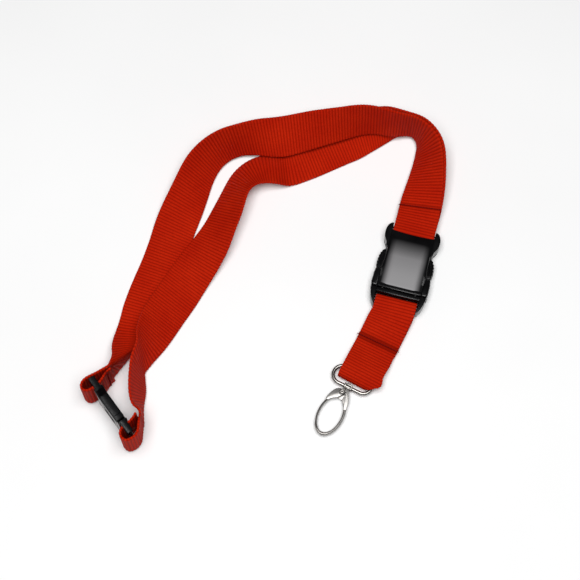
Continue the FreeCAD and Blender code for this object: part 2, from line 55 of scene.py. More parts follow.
BUCKLE = ((75.1, 37.2), -105.0)  # origin and turn of the buckle's own frame
HOOK = ((30.1, -64.6), -117.0)
CLIP = ((-111.6, -64.2), -53.5)
HOOK_Z = 3.4  # height of the hook's middle plane
BUCKLE_Z = 5.2  # height of the buckle's two bars
SOCKET_BAR_A, PLUG_BAR_A = 3.5, 49.4
CLIP_GAP, CLIP_H = 36.0, 28.6  # between the clip's bars, and its height as it stands

WEB_W, WEB_T = 25.0, 1.3
SLACK = 1.0  # a ruling up to this much too long is drawn in to the webbing's width
RIB = 1.8  # pitch of the webbing's cross ribs
ROWS_PER_RIB = 4
WRAP_R = 2.5  # the webbing's middle line round a bar
LAYER_GAP, LAYER_OUT = 0.5, 0.6  # the lower band lies this far under the upper one, and beside it


def unit(azimuth, tilt=0.0):
    """Direction from its azimuth in plan and its tilt above the table, in degrees."""
    a, t = math.radians(azimuth), math.radians(tilt)
    return np.array([math.cos(a) * math.cos(t), math.sin(a) * math.cos(t), math.sin(t)])


def local(place, x, y, z):
    """A point of a local frame, in plan coordinates."""
    (ox, oy), turn = place
    along, across = unit(turn), unit(turn + 90)
    return np.array([ox, oy, z]) + along * x + across * y


def place_matrix(place, z=0.0):
    """Matrix that takes a local frame in mm to the row frame in metres."""
    (ox, oy), turn = place
    move = Matrix.Translation(Vector((np.array([ox, oy, z]) + SHIFT) * MM))
    return move @ Matrix.Rotation(math.radians(turn), 4, "Z") @ Matrix.Scale(MM, 4)


# ---------------------------------------------------------------- webbing route
# A station is the place (x, y, z) of the band's inner edge, then the azimuth and the tilt of the
# line across the band from there, and that line's length where the band is folded aslant.

SHARED = [
    (64.4, 45.6, 6.9, -15, 4),
    (66.4, 53.8, 5.4, -13, 12),
    (69.2, 62.5, 4.2, -14, 24),
    (72.2, 71.0, 3.4, -13, 36),
    (75.0, 79.5, 3.0, -10, 47),
    (77.2, 88.0, 2.8, 5, 62),
    (77.6, 95.0, 2.8, 32, 80),
]

UPPER_RUN = [  # the left band, from the corner above the buckle down to the clip
    (75.0, 98.9, 3.2, 60, 86),
    (69.5, 99.2, 4.2, 80, 84),
    (62.0, 97.9, 6.4, 86, 78),
    (54.0, 98.5, 7.9, 90, 75),
    (44.6, 98.3, 7.6, 93, 70),
    (32.3, 95.2, 6.4, 97, 62),
    (20.0, 91.5, 5.8, 98, 53),
    (7.0, 87.3, 5.4, 98, 42),
    (-5.5, 84.5, 5.2, 100, 38),
    (-16.0, 85.6, 4.4, 106, 50),
    (-25.0, 86.8, 3.0, 114, 61),
    (-33.5, 85.4, 2.0, 128, 62),
    (-40.5, 80.4, 1.4, 143, 56),
    (-46.0, 71.4, 1.0, 152, 46),
    (-49.5, 60.0, 0.8, 156, 36),
    (-53.0, 48.0, 0.8, 157, 24),
    (-57.3, 35.5, 0.8, 157, 9),
    (-62.8, 17.1, 0.8, 159, 0),
    (-69.4, -1.1, 0.8, 161, 0),
    (-74.5, -17.0, 0.8, 164, 1),
    (-77.0, -28.0, 1.0, 174, 7),
    (-80.5, -33.0, 1.4, 189, 22),
    (-85.2, -35.8, 1.6, 212, 40, 27.0),
    (-90.6, -38.0, 1.6, 232, 50, 31.4),
    (-95.6, -44.8, 1.6, 233, 63, 27.9),
    (-99.8, -50.6, 1.7, 232, 77, 25.6),
]

LOWER_RUN = [  # the right band, which passes under the left one and back over it
    (76.6, 101.0, 1.2, 62, 86),
    (70.5, 101.6, 0.9, 80, 82),
    (63.5, 98.6, 0.9, 92, 66),
    (57.0, 94.2, 0.9, 100, 43),
    (50.0, 89.6, 0.9, 106, 25),
    (42.0, 84.8, 0.9, 110, 11),
    (31.4, 79.9, 0.8, 112, 4),
    (16.4, 72.9, 0.8, 110, 3),
    (5.6, 68.6, 0.9, 104, 3),
    (0.5, 66.9, 1.8, 98, -2),
    (-6.0, 65.2, 7.7, 95, -16),
    (-13.0, 64.8, 11.0, 98, -24),
    (-18.0, 63.4, 13.0, 112, -30),
    (-22.5, 60.0, 15.6, 128, -38),
    (-25.5, 54.0, 17.6, 140, -42),
    (-27.5, 46.5, 17.0, 148, -39),
    (-30.5, 38.0, 15.3, 150, -35),
    (-33.0, 31.0, 14.2, 150, -31),
    (-36.0, 22.8, 11.8, 149, -22),
    (-40.0, 15.2, 8.0, 147, -13),
    (-45.0, 7.3, 4.4, 146, -4),
    (-51.0, -2.4, 1.5, 145, 5),
    (-59.0, -15.6, 0.8, 145, 14),
    (-67.0, -28.0, 0.8, 148, 28),
    (-73.2, -37.2, 0.8, 144, 43),
    (-79.5, -45.0, 0.9, 128, 55),
    (-84.6, -51.8, 1.2, 108, 62),
    (-84.8, -54.6, 1.3, 130, 70),
    (-84.4, -58.2, 1.4, 155, 73),
    (-84.0, -62.6, 1.5, 183, 73),
    (-84.2, -67.0, 1.5, 212, 72),
    (-84.9, -72.8, 1.7, 242, 75),
    (-84.8, -78.6, 1.8, 262, 85),
]

# The two end loops stand on edge round the clip's bars; (x, y) is from each bar, in the clip's frame.
LEFT_LOOP = [(-2.2, 11.5), (-2.4, 8.6), (-2.9, 3.8), (-3.7, -1.8), (-2.9, -5.6), (-0.2, -7.6),
             (2.1, -6.6), (3.2, -3.0), (2.9, 1.6), (1.6, 5.6), (0.2, 8.8), (-0.3, 12.4)]
RIGHT_LOOP = [(-4.2, 10.3), (-2.4, 8.6), (-0.2, 6.6), (2.6, 4.2), (4.2, 1.4), (4.4, -1.8), (3.4, -4.6),
              (0.8, -5.6), (-1.8, -4.9), (-3.6, -2.2), (-4.0, 1.4), (-4.5, 4.6), (-5.3, 7.0),
              (-6.3, 8.9)]
LOOP_Z = 1.8  # height of a standing loop's lower edge

# The short loop: (distance from the plug's bar, height of the upper layer, of the lower layer).
SHORT_PROFILE = [(5.0, 6.9, 2.4), (11.0, 5.7, 1.6), (18.0, 4.3, 1.1), (26.0, 3.6, 1.0),
                 (34.0, 4.2, 1.0), (40.0, 5.9, 1.0), (45.5, 7.0, 1.0)]
SHORT_TURN, SHORT_L = -116.5, 51.5
SHORT_BEND, BEND_RUN = 4.5, 12.0  # where it leaves the buckle's direction, and over what run
SHORT_FOLD_Z, FOLD_R = 4.0, 3.1  # the fold in which the ring hangs
GATHER, GATHER_START, GATHER_RUN = 6.6, 32.0, 8.0  # the lower layer narrows towards the fold
SHORT_SKEW, SKEW_START, SKEW_RUN = 0.4, 30.0, 15.0  # the fold lies a little aslant


def bar_station(a, z):
    """A station square across the buckle, a from its origin."""
    p = local(BUCKLE, a, -WEB_W / 2, z)
    return (p[0], p[1], p[2], BUCKLE[1] + 90, 0.0)


def wrap_stations(bar_a, first, last, count):
    """Stations round a bar of the buckle, between two angles in degrees."""
    angles = [math.radians(first + (last - first) * k / count) for k in range(count + 1)]
    return [bar_station(bar_a + WRAP_R * math.cos(a), BUCKLE_Z + WRAP_R * math.sin(a))
            for a in angles]


def shifted(stations, down, out):
    """The same stations, moved under the band's face and out along its rulings."""
    moved = []
    for x, y, z, azimuth, tilt in stations:
        normal = unit(azimuth + 180, 90 - tilt)
        p = np.array([x, y, z]) - normal * down + unit(azimuth, tilt) * out
        moved.append((*p, azimuth, tilt))
    return moved


def upright(path, offset):
    """Stations of a loop that stands on its edge at the clip."""
    return [(*local(CLIP, offset + x, y, LOOP_Z), 0.0, 90.0) for x, y in path]


def left_stations():
    """The left band: round the socket's bar, along its route and round the clip's left bar."""
    return (wrap_stations(SOCKET_BAR_A, -115, 100, 10) + SHARED + UPPER_RUN
            + upright(LEFT_LOOP, 0.0))


def right_stations():
    """The right band: from its sewn end behind the socket's bar to the seam at the clip."""
    start = [bar_station(-0.6, 2.5), bar_station(-4.0, 2.9)]
    end = local(CLIP, CLIP_GAP + RIGHT_LOOP[0][0], RIGHT_LOOP[0][1], LOOP_Z)
    tail = (end[0], end[1] + 0.3, LOOP_Z, 250.0, 90.0)
    return start + shifted(SHARED[1:], WEB_T + LAYER_GAP, LAYER_OUT) + LOWER_RUN + [tail]


def ramp_up(value, start, run):
    """0 up to the start, then rising to 1 over the run."""
    return min(1.0, max(0.0, (value - start) / run))


def short_ruling(s, z, right=WEB_W / 2):
    """Both edges of the short loop at s along it and z up; right is its half width on that side."""
    bend = ramp_up(s, SHORT_BEND, BEND_RUN)
    side = unit(BUCKLE[1] + 90 + (SHORT_TURN - BUCKLE[1]) * bend)
    middle = local(BUCKLE, PLUG_BAR_A, 0, z) + unit(BUCKLE[1]) * min(s, SHORT_BEND)
    middle = middle + unit(SHORT_TURN) * max(0.0, s - SHORT_BEND)
    skew = unit(SHORT_TURN) * (SHORT_SKEW * ramp_up(s, SKEW_START, SKEW_RUN))
    return middle - side * (WEB_W / 2) - skew, middle + side * right + skew


def short_rulings():
    """Round the bar, along the upper layer, round the fold and back along the lower layer."""
    found = []
    for k in range(7):
        angle = math.radians(-90 - 30 * k)
        found.append(short_ruling(WRAP_R * math.cos(angle), BUCKLE_Z + WRAP_R * math.sin(angle)))
    found += [short_ruling(s, upper) for s, upper, lower in SHORT_PROFILE]
    for k in range(7):
        angle = math.radians(90 - 30 * k)
        found.append(short_ruling(SHORT_L + FOLD_R * math.cos(angle),
                                  SHORT_FOLD_Z + FOLD_R * math.sin(angle),
                                  WEB_W / 2 - GATHER * min(1.0, k / 3)))
    for s, upper, lower in reversed(SHORT_PROFILE):
        narrow = WEB_W / 2 - GATHER * ramp_up(s, GATHER_START, GATHER_RUN)
        found.append(short_ruling(s, lower, narrow))
    return found


# ---------------------------------------------------------------- smooth strips

def cubic(points, params, at, closed=False):
    """Cubic spline through the points, natural at the ends or periodic."""
    p, t = np.asarray(points, float), np.asarray(params, float)
    if closed:
        period = t[-1]
        p = np.concatenate([p[-5:-1], p, p[1:5]])
        t = np.concatenate([t[-5:-1] - period, t, t[1:5] + period])
    n = len(t)
    h = np.diff(t)
    m = np.zeros((n, n))
    rhs = np.zeros((n, p.shape[1]))
    m[0, 0] = m[-1, -1] = 1.0
    for i in range(1, n - 1):
        m[i, i - 1], m[i, i], m[i, i + 1] = h[i - 1], 2 * (h[i - 1] + h[i]), h[i]
        rhs[i] = 6 * ((p[i + 1] - p[i]) / h[i] - (p[i] - p[i - 1]) / h[i - 1])
    bend = np.linalg.solve(m, rhs)
    at = np.asarray(at, float)
    i = np.clip(np.searchsorted(t, at, side="right") - 1, 0, n - 2)
    w, u, v = h[i][:, None], (t[i + 1] - at)[:, None], (at - t[i])[:, None]
    return (bend[i] * u ** 3 / (6 * w) + bend[i + 1] * v ** 3 / (6 * w)
            + (p[i] / w - bend[i] * w / 6) * u + (p[i + 1] / w - bend[i + 1] * w / 6) * v)


def distances(points):
    """Distance along a line of points, from its start to each of them."""
    return np.concatenate([[0], np.cumsum(np.linalg.norm(np.diff(points, axis=0), axis=1))])


class Strip:
    """Evenly spaced rulings of a strap, in the row frame in mm."""

    def __init__(self, inner, outer, closed=False, keep_width=True):
        inner, outer = np.asarray(inner, float), np.asarray(outer, float)
        if closed:
            inner, outer = np.vstack([inner, inner[:1]]), np.vstack([outer, outer[:1]])
        params = distances((inner + outer) / 2)
        dense = np.linspace(0, params[-1], 4000)
        a, b = (cubic(e, params, dense, closed) for e in (inner, outer))
        run = distances((a + b) / 2)
        rows = round(run[-1] / RIB) * ROWS_PER_RIB
        at = np.interp(np.linspace(0, run[-1], rows + 1), run, dense)
        if closed:
            at = at[:-1]
        a, b = (cubic(e, params, at, closed) for e in (inner, outer))
        mid, half = (a + b) / 2, (b - a) / 2
        if keep_width:
            natural = np.linalg.norm(half, axis=1)[:, None]
            half *= np.maximum(WEB_W / 2, natural - SLACK / 2) / natural
        self.mid, self.half, self.closed, self.length = mid + SHIFT, half, closed, run[-1]
        if closed:
            along = np.roll(self.mid, -1, axis=0) - np.roll(self.mid, 1, axis=0)
        else:
            along = np.gradient(self.mid, axis=0)
        normal = np.cross(half, along)
        self.normal = normal / np.linalg.norm(normal, axis=1)[:, None]
        self.spacing = run[-1] / rows

    def nearest(self, point):
        """Row whose middle is nearest to a point given in plan coordinates."""
        return int(np.argmin(np.linalg.norm(self.mid - (np.asarray(point) + SHIFT), axis=1)))


def strip_from(stations):
    """A strip whose rulings run from each station's inner edge for the webbing's width."""
    inner = [np.array(s[:3], float) for s in stations]
    outer = [p + unit(s[3], s[4]) * (s[5] if len(s) > 5 else WEB_W)
             for p, s in zip(inner, stations)]
    return Strip(inner, outer)


# ---------------------------------------------------------------- meshes

def add_object(name, verts, faces, material, smooth=True):
    """A new mesh object in the scene, from points in metres."""
    mesh = bpy.data.meshes.new(name)
    mesh.from_pydata([tuple(v) for v in verts], [], faces)
    mesh.validate()
    mesh.update()
    if smooth:
        mesh.polygons.foreach_set("use_smooth", [True] * len(mesh.polygons))
    obj = bpy.data.objects.new(name, mesh)
    bpy.context.scene.collection.objects.link(obj)
    mesh.materials.append(material)
    return obj


COLUMNS = 24  # faces across the webbing
RIB_LIFT = (-0.17, 0.09, 0.16, 0.09)  # height of the face over one rib, valley first
RIB_REACH = (-0.006, 0.0, 0.006, 0.0)  # how far its ends stand out, as a share of the half width
RIB_UNEVEN, EDGE_WANDER, WANDER_ROWS = 0.054, 0.004, 12  # spread of the ribs' heights and of the edges
CORE_SHY = 0.06  # the face without its ribs lies this far inside the webbing's thickness
WEAVE_HALF = 0.6  # half the thickness, as the weave's coordinates go round the edge
SEAM_SPREAD = 1.3  # how far along the band a seam draws the faces in
FULL_SEAM_SHADE = 0.3  # a seam this deep gets the darkest painted shade in its groove


def cross_section():
    """(across -1..1, thickness -1..1, rib share) round one section of the webbing."""
    top = [(-0.976 + 1.952 * k / COLUMNS, 1.0) for k in range(COLUMNS + 1)]
    ring = [(x, z, 1.0 if abs(x) < 0.95 else 0.55) for x, z in top]
    ring += [(0.994, 0.62, 0.2), (1.0, 0.0, 0.0), (0.994, -0.62, 0.2)]
    ring += [(x, -z, share) for x, z, share in ring[COLUMNS::-1]]
    ring += [(-0.994, -0.62, 0.2), (-1.0, 0.0, 0.0), (-0.994, 0.62, 0.2)]
    return ring


def band_points(strip, ring, pinches, seed):
    """The points of a band's sections, and how much painted shade a seam puts on each section."""
    rng = np.random.default_rng(seed)
    rows, core = len(strip.mid), WEB_T / 2 - CORE_SHY
    uneven = rng.normal(0, RIB_UNEVEN, rows // ROWS_PER_RIB + 2)
    wander = rng.normal(0, EDGE_WANDER, rows // WANDER_ROWS + 3)
    points, painted_seam_shade = np.zeros((rows, len(ring), 3)), np.zeros(rows)
    for k in range(rows):
        phase = k % ROWS_PER_RIB
        lift = RIB_LIFT[phase] * (1 + uneven[k // ROWS_PER_RIB])
        squeeze = sum(depth * math.exp(-((k - row) * strip.spacing / SEAM_SPREAD) ** 2)
                      for row, depth in pinches)
        painted_seam_shade[k] = min(1.0, squeeze / FULL_SEAM_SHADE)
        edge = 1.0 + RIB_REACH[phase] + np.interp(k / WANDER_ROWS, range(len(wander)), wander)
        for j, (x, z, share) in enumerate(ring):
            side = x * edge if abs(x) > 0.9 else x
            high = z * (core + lift * share - squeeze) if z else 0.0
            points[k, j] = strip.mid[k] + strip.half[k] * side + strip.normal[k] * high
    return points, painted_seam_shade


def band_faces(strip, ring):
    """Faces between a band's sections, and the place of each face corner in the weave."""
    rows, cols = len(strip.mid), len(ring)
    steps = [math.hypot((ring[(j + 1) % cols][0] - ring[j][0]) * WEB_W / 2,
                        (ring[(j + 1) % cols][1] - ring[j][1]) * WEAVE_HALF) for j in range(cols)]
    u = np.concatenate([[0], np.cumsum(steps)])
    faces, uvs = [], []
    for k in range(rows if strip.closed else rows - 1):
        here, ahead = k * cols, (k + 1) % rows * cols
        v0, v1 = k / ROWS_PER_RIB, (k + 1) / ROWS_PER_RIB
        for j in range(cols):
            m = (j + 1) % cols
            faces.append((here + j, ahead + j, ahead + m, here + m))
            uvs += [(u[j], v0), (u[j], v1), (u[j + 1], v1), (u[j + 1], v0)]
    return faces, uvs


def end_loops():
    """Faces that close one section: quads across it and a polygon at each rounded edge."""
    opposite = 2 * COLUMNS + 4
    quads = [(j, j + 1, opposite - j - 1, opposite - j) for j in range(COLUMNS)]
    return quads + [tuple(range(COLUMNS, COLUMNS + 5)), (*range(opposite, opposite + 4), 0)]


def webbing(name, strip, material, pinches, seed):
    """A ribbed strap on a strip. pinches are (row, depth mm) where a seam draws the faces in and shade
    is painted into its groove.
    """
    ring = cross_section()
    points, painted_seam_shade = band_points(strip, ring, pinches, seed)
    faces, uvs = band_faces(strip, ring)
    if not strip.closed:
        for first, order in ((0, 1), ((len(points) - 1) * len(ring), -1)):
            for loop in end_loops():
                faces.append(tuple(first + j for j in loop[::order]))
                uvs += [(0, 0)] * len(loop)
    obj = add_object(name, points.reshape(-1, 3) * MM, faces, material)
    layer = obj.data.uv_layers.new(name="weave")
    layer.data.foreach_set("uv", np.array(uvs, float).ravel())
    # Painted shade in each seam's groove, kept as a colour attribute that darkens the base colour.
    seam = obj.data.color_attributes.new("seam", "FLOAT_COLOR", "POINT")
    seam.data.foreach_set("color", np.repeat(painted_seam_shade, len(ring) * 4))
    return obj


def tube(path, radius, sides=8, closed=False):
    """Verts and faces of a round tube along points; radius may be a list."""
    path = [np.asarray(p, float) for p in path]
    n = len(path)
    radii = radius if hasattr(radius, "__len__") else [radius] * n
    verts, faces = [], []
    up = None
    for k in range(n):
        ahead = path[(k + 1) % n] if closed or k < n - 1 else path[k]
        behind = path[k - 1] if closed or k else path[k]
        t = ahead - behind
        t = t / (np.linalg.norm(t) or 1)
        if up is None:
            up = np.cross(t, [0.31, 0.17, 0.93])
        up = up - t * np.dot(up, t)
        up /= np.linalg.norm(up)
        side = np.cross(t, up)
        for j in range(sides):
            a = 2 * math.pi * j / sides
            verts.append(path[k] + (up * math.cos(a) + side * math.sin(a)) * radii[k])
    for k in range(n if closed else n - 1):
        for j in range(sides):
            a, b = k * sides, ((k + 1) % n) * sides
            i = (j + 1) % sides
            faces.append((a + j, b + j, b + i, a + i))
    if not closed:
        faces.append(tuple(range(sides)))
        faces.append(tuple(range(n * sides - 1, (n - 1) * sides - 1, -1)))
    return verts, faces


def merge(parts):
    """One list of points and one of faces from several shapes."""
    verts, faces = [], []
    for v, f in parts:
        base = len(verts)
        verts += list(v)
        faces += [tuple(i + base for i in face) for face in f]
    return verts, faces


STITCHES, TUFTS = 14, (4, 3)  # stitches in a row, and loose ends at its two edges
THREAD_R, THREAD_SINK = 0.25, 0.28  # a thread's radius, and how deep its ends go into the face


def stitch_row(name, strip, row, material, flip, seed):
    """Sewing threads across a strap, arched over its face, with loose ends at both edges."""
    rnd = random.Random(seed)
    normal = strip.normal[row] * (-1 if flip else 1)
    half = strip.half[row]
    side = half / np.linalg.norm(half)
    along = np.cross(normal, side)
    reach = np.linalg.norm(half) - 0.5
    middle = strip.mid[row] + normal * (WEB_T / 2)
    pitch = 2 * reach / STITCHES
    parts = []
    for k in range(STITCHES):
        start = -reach + pitch * (k + 0.06)
        skew = rnd.uniform(-0.12, 0.12)
        lift = rnd.uniform(0.34, 0.44)
        path = []
        for i in range(9):
            f = i / 8
            high = -THREAD_SINK + (lift + THREAD_SINK) * math.sin(math.pi * f) ** 0.6
            path.append(middle + side * (start + pitch * 0.88 * f) + normal * high
                        + along * (skew * (f - 0.5)))
        parts.append(tube(path, [THREAD_R * (0.75 + 0.25 * math.sin(math.pi * i / 8))
                                 for i in range(9)]))
    for sign, number in zip((-1, 1), TUFTS):
        for k in range(number):
            out = rnd.uniform(0.8, 1.9)
            drift = rnd.uniform(-1.3, 1.3)
            rise = rnd.uniform(0.0, 0.9)
            root = middle + side * sign * (reach - 0.2)
            path = [root + side * sign * out * f + along * drift * f * f
                    + normal * (rise * math.sin(math.pi * f * 0.8) - 0.1)
                    for f in (0, 0.25, 0.5, 0.75, 1.0)]
            parts.append(tube(path, [0.2, 0.19, 0.17, 0.15, 0.1], sides=6))
    verts, faces = merge(parts)
    return add_object(name, np.array(verts) * MM, faces, material)


# ---------------------------------------------------------------- materials

class Nodes:
    """Short calls for building one procedural material."""

    def __init__(self, name):
        self.material = bpy.data.materials.new(name)
        self.material.use_nodes = True
        self.tree = self.material.node_tree
        self.shader = self.tree.nodes["Principled BSDF"]

    def add(self, kind, **settings):
        node = self.tree.nodes.new(kind)
        for key, value in settings.items():
            setattr(node, key, value)
        return node

    def link(self, a, b):
        self.tree.links.new(a, b)

    def math(self, operation, a, b=None):
        node = self.tree.nodes.new("ShaderNodeMath")
        node.operation = operation
        for k, value in enumerate((a, b)):
            if value is None:
                continue
            if hasattr(value, "links"):
                self.link(value, node.inputs[k])
            else:
                node.inputs[k].default_value = value
        return node.outputs[0]

    def ramp(self, factor, stops):
        node = self.tree.nodes.new("ShaderNodeValToRGB")
        while len(node.color_ramp.elements) < len(stops):
            node.color_ramp.elements.new(0.5)
        for element, (position, colour) in zip(node.color_ramp.elements, stops):
            element.position = position
            element.color = (*colour, 1.0)
        self.link(factor, node.inputs[0])
        return node.outputs[0]

    def noise(self, vector, scale, detail=3.0, rough=0.5):
        node = self.tree.nodes.new("ShaderNodeTexNoise")
        node.inputs["Scale"].default_value = scale
        node.inputs["Detail"].default_value = detail
        node.inputs["Roughness"].default_value = rough
        self.link(vector, node.inputs["Vector"])
        return node.outputs[0]

    def mix(self, kind, factor, a, b):
        node = self.tree.nodes.new("ShaderNodeMix")
        node.data_type = "RGBA"
        node.blend_type = kind
        for socket, value in ((node.inputs[0], factor), (node.inputs[6], a), (node.inputs[7], b)):
            if hasattr(value, "links"):
                self.link(value, socket)
            elif hasattr(value, "__len__"):
                socket.default_value = (*value, 1.0)
            else:
                socket.default_value = value
        return node.outputs[2]

    def bump(self, height, strength, distance):
        node = self.tree.nodes.new("ShaderNodeBump")
        node.inputs["Strength"].default_value = strength
        node.inputs["Distance"].default_value = distance
        self.link(height, node.inputs["Height"])
        return node.outputs[0]

    def set(self, **values):
        for key, value in values.items():
            self.shader.inputs[key.replace("_", " ")].default_value = value

    def object_coords(self):
        return self.tree.nodes.new("ShaderNodeTexCoord").outputs["Object"]


def webbing_material():
    """Red polyester: cross ribs, fine warp threads over them, a little colour drift, painted shade in
    the ribs' valleys and along the seams.
    """
    m = Nodes("webbing")
    uv = m.add("ShaderNodeUVMap", uv_map="weave").outputs[0]
    split = m.tree.nodes.new("ShaderNodeSeparateXYZ")
    m.link(uv, split.inputs[0])
    across, rib = split.outputs[0], split.outputs[1]
    rib_wave = m.math("SINE", m.math("MULTIPLY", m.math("FRACT", rib), math.pi))
    shifted_across = m.math("ADD", m.math("MULTIPLY", across, 1 / 0.62),
                            m.math("MULTIPLY", m.math("FLOOR", rib), 0.5))
    thread_wave = m.math("SINE", m.math("MULTIPLY", m.math("FRACT", shifted_across), math.pi))
    coords = m.object_coords()
    drift = m.noise(coords, 55.0, 3.0)
    fleck = m.noise(coords, 1400.0, 2.0)
    base = m.ramp(drift, [(0.3, (0.46, 0.0125, 0.0025)), (0.7, (0.54, 0.019, 0.0035))])
    # Painted shade: the base colour darkens in the valleys between the cross ribs.
    painted_valley_shade = m.ramp(rib_wave, [(0.0, (0.51, 0.37, 0.34)), (0.55, (0.85, 0.79, 0.79)),
                               (1.0, (1.05, 1.07, 1.06))])
    colour = m.mix("MULTIPLY", 1.0, base, painted_valley_shade)
    threads = m.ramp(thread_wave, [(0.0, (0.66, 0.6, 0.6)), (0.6, (1.0, 1.0, 1.0))])
    colour = m.mix("MULTIPLY", 0.8, colour, threads)
    flecks = m.ramp(fleck, [(0.35, (0.88, 0.86, 0.86)), (0.65, (1.05, 1.06, 1.06))])
    colour = m.mix("MULTIPLY", 1.0, colour, flecks)
    # Painted shade: the base colour darkens where a seam draws the faces in.
    seam = m.tree.nodes.new("ShaderNodeAttribute")
    seam.attribute_name = "seam"
    colour = m.mix("MULTIPLY", seam.outputs["Fac"], colour, (0.45, 0.36, 0.36))
    m.link(colour, m.shader.inputs["Base Color"])
    rough = m.math("ADD", 0.52, m.math("MULTIPLY", drift, 0.22))
    m.link(rough, m.shader.inputs["Roughness"])
    height = m.math("ADD", m.math("MULTIPLY", thread_wave, rib_wave),
                    m.math("MULTIPLY", fleck, 0.35))
    m.link(m.bump(height, 0.6, 0.00022), m.shader.inputs["Normal"])
    m.set(Specular_IOR_Level=0.04, Specular_Tint=(1.0, 0.3, 0.2, 1.0))
    return m.material


def thread_material():
    """Dark red sewing thread with its twist."""
    m = Nodes("thread")
    coords = m.object_coords()
    twist = m.add("ShaderNodeTexWave", wave_type="BANDS", bands_direction="DIAGONAL")
    twist.inputs["Scale"].default_value = 900.0
    twist.inputs["Distortion"].default_value = 1.5
    m.link(coords, twist.inputs["Vector"])
    colour = m.ramp(twist.outputs["Fac"], [(0.2, (0.11, 0.002, 0.002)), (0.8, (0.24, 0.006, 0.005))])
    m.link(colour, m.shader.inputs["Base Color"])
    m.link(m.math("ADD", 0.5, m.math("MULTIPLY", m.noise(coords, 700.0), 0.3)),
           m.shader.inputs["Roughness"])
    m.link(m.bump(twist.outputs["Fac"], 0.5, 0.0001), m.shader.inputs["Normal"])
    m.set(Specular_IOR_Level=0.08)
    return m.material


def plastic_material():
    """Moulded black acetal: satin gloss, faint orange peel, dust and rubbed patches, and a painted
    sheen on the socket's panel.
    """
    m = Nodes("black_plastic")
    coords = m.object_coords()
    cloud = m.noise(coords, 130.0, 4.0)
    grain = m.noise(coords, 2600.0, 2.0)
    peel = m.noise(coords, 420.0, 2.0)
    # Painted sheen: on the socket's panel the base colour mixes to a lighter grey that stands in for
    # the key light's reflection; the same mask also raises the roughness.
    satin_and_painted_sheen = m.tree.nodes.new("ShaderNodeAttribute")
    satin_and_painted_sheen.attribute_name = "satin_and_painted_sheen"
    satin_and_painted_sheen = satin_and_painted_sheen.outputs["Fac"]
    dark = m.ramp(cloud, [(0.3, (0.002, 0.002, 0.0023)), (0.75, (0.0045, 0.0045, 0.005))])
    m.link(m.mix("MIX", satin_and_painted_sheen, dark, (0.24, 0.235, 0.24)), m.shader.inputs["Base Color"])
    rough = m.math("ADD", m.math("MULTIPLY", cloud, 0.08), m.math("MULTIPLY", grain, 0.05))
    rough = m.math("ADD", rough, m.math("MULTIPLY", satin_and_painted_sheen, 0.24))
    m.link(m.math("ADD", rough, 0.12), m.shader.inputs["Roughness"])
    height = m.math("ADD", m.math("MULTIPLY", peel, 1.0), m.math("MULTIPLY", grain, 0.25))
    m.link(m.bump(height, 0.35, 0.00006), m.shader.inputs["Normal"])
    m.set(Specular_IOR_Level=0.24)
    return m.material


def metal_material(name, light, dark, low_rough, scratch):
    """Plated metal: slightly uneven tone, fine scratches and duller patches."""
    m = Nodes(name)
    coords = m.object_coords()
    stretch = m.tree.nodes.new("ShaderNodeMapping")
    stretch.inputs["Scale"].default_value = (1.0, 9.0, 1.0)
    stretch.inputs["Rotation"].default_value = (0, 0, 0.6)
    m.link(coords, stretch.inputs["Vector"])
    cloud = m.noise(coords, 260.0, 4.0)
    lines = m.noise(stretch.outputs[0], 500.0, 5.0, 0.7)
    m.link(m.ramp(cloud, [(0.3, dark), (0.7, light)]), m.shader.inputs["Base Color"])
    rough = m.math("ADD", low_rough, m.math("MULTIPLY", lines, scratch))
    m.link(rough, m.shader.inputs["Roughness"])
    m.link(m.bump(lines, 0.25, 0.00005), m.shader.inputs["Normal"])
    m.set(Metallic=1.0)
    return m.material


WEBBING = webbing_material()
THREAD = thread_material()
PLASTIC = plastic_material()
# light and dark tone, lowest roughness, and how much the scratches add to it
NICKEL = metal_material("nickel", (0.31, 0.295, 0.275), (0.21, 0.2, 0.19), 0.2, 0.14)
CAST = metal_material("cast_nickel", (0.4, 0.385, 0.365), (0.27, 0.26, 0.25), 0.31, 0.12)
STEEL = metal_material("spring_steel", (0.60, 0.60, 0.60), (0.42, 0.42, 0.42), 0.2, 0.3)


# ---------------------------------------------------------------- webbing pieces

left = strip_from(left_stations())
right = strip_from(right_stations())
clip_end = strip_from(upright(RIGHT_LOOP, CLIP_GAP))
rulings = short_rulings()
short = Strip([r[0] for r in rulings], [r[1] for r in rulings], closed=True, keep_width=False)

SEAM_A, SEAM_DEPTH = -13.4, 0.16  # the seam above the buckle, and how deep each seam draws in
SHORT_SEAM, SHORT_SEAM_Z = 26.0, 3.6  # the short loop's seam, from the plug's bar, and its height

seam_row = left.nearest(local(BUCKLE, SEAM_A, 0, 7.4))
under_row = right.nearest(local(BUCKLE, SEAM_A, 0, 5.2))
left_row = left.nearest(local(CLIP, LEFT_LOOP[-2][0], LEFT_LOOP[-2][1], LOOP_Z + WEB_W / 2))
right_row = ROWS_PER_RIB  # one rib in from the band's end
short_row = short.nearest(sum(short_ruling(SHORT_SEAM, SHORT_SEAM_Z)) / 2)

